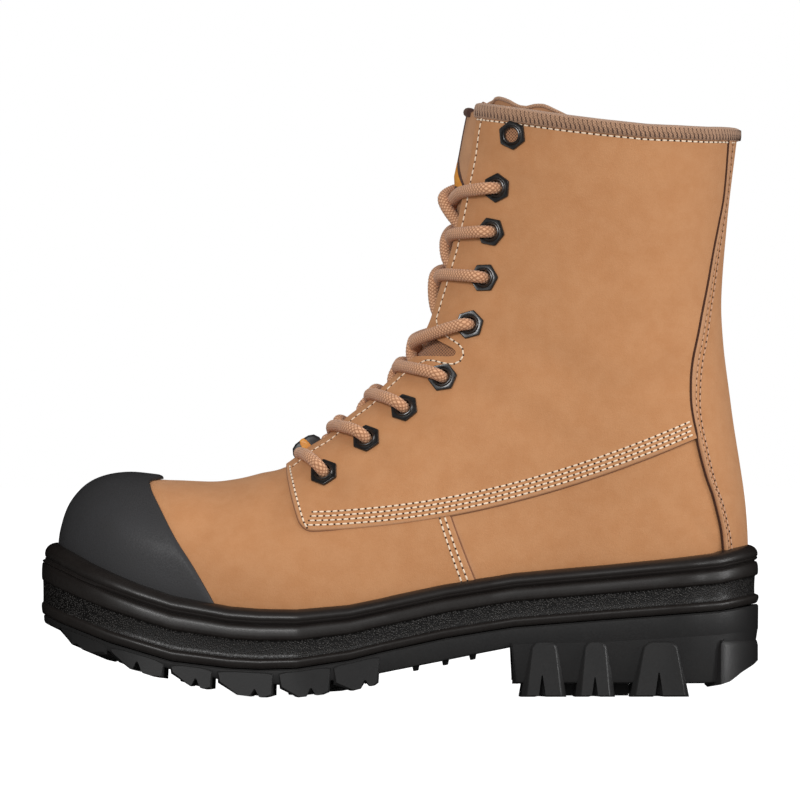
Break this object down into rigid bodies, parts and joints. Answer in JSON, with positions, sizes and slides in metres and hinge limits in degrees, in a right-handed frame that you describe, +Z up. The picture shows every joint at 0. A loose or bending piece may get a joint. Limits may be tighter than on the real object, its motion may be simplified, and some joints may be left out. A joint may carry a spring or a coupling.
{
  "type": "work boot",
  "caption": "Tall laced leather work boot with a rubber toe cap, hexagonal eyelets, padded tongue, taped collar and a thick lugged sole with a raised heel.",
  "frame": {"origin": "on the floor, under the middle of the boot's box", "axes": "+Z up, toe towards -X and heel towards +X, the foot's outer (lateral) side at -Y"},
  "size_m": [0.317, 0.1138, 0.2641],
  "materials": {
    "tread_rubber": "moulded black rubber",
    "midsole_foam": "moulded warm black foam with a pebbled band",
    "footbed": "grey felt",
    "tan_leather": "tan nubuck, fine nap",
    "toe_rubber": "fine-grained matt black rubber",
    "binding_tape": "knitted tan tape",
    "tongue_padding": "padded tan textile",
    "eyelet_black": "gloss black coating",
    "lace_cord": "round tan braid",
    "keeper_black": "moulded black plastic"
  },
  "bodies": {
    "root": {"outsole": "tread_rubber", "midsole": "midsole_foam", "insole": "footbed", "upper": "tan_leather", "toe_cap": "toe_rubber", "quarter_lateral": "tan_leather", "quarter_medial": "tan_leather", "backstay": "tan_leather", "collar_binding": "binding_tape", "tongue": "tongue_padding", "eyelet_l1": "eyelet_black", "eyelet_l2": "eyelet_black", "eyelet_l3": "eyelet_black", "eyelet_l4": "eyelet_black", "eyelet_l5": "eyelet_black", "eyelet_l6": "eyelet_black", "eyelet_l7": "eyelet_black", "eyelet_l8": "eyelet_black", "eyelet_l9": "eyelet_black", "eyelet_m1": "eyelet_black", "eyelet_m2": "eyelet_black", "eyelet_m3": "eyelet_black", "eyelet_m4": "eyelet_black", "eyelet_m5": "eyelet_black", "eyelet_m6": "eyelet_black", "eyelet_m7": "eyelet_black", "eyelet_m8": "eyelet_black", "eyelet_m9": "eyelet_black", "lace_crossing_1": "lace_cord", "lace_crossing_2": "lace_cord", "lace_crossing_3": "lace_cord", "lace_crossing_4": "lace_cord", "lace_crossing_5": "lace_cord", "lace_crossing_6": "lace_cord", "lace_crossing_7": "lace_cord", "lace_bar": "lace_cord", "lace_keeper": "keeper_black"}
  },
  "joints": []
}
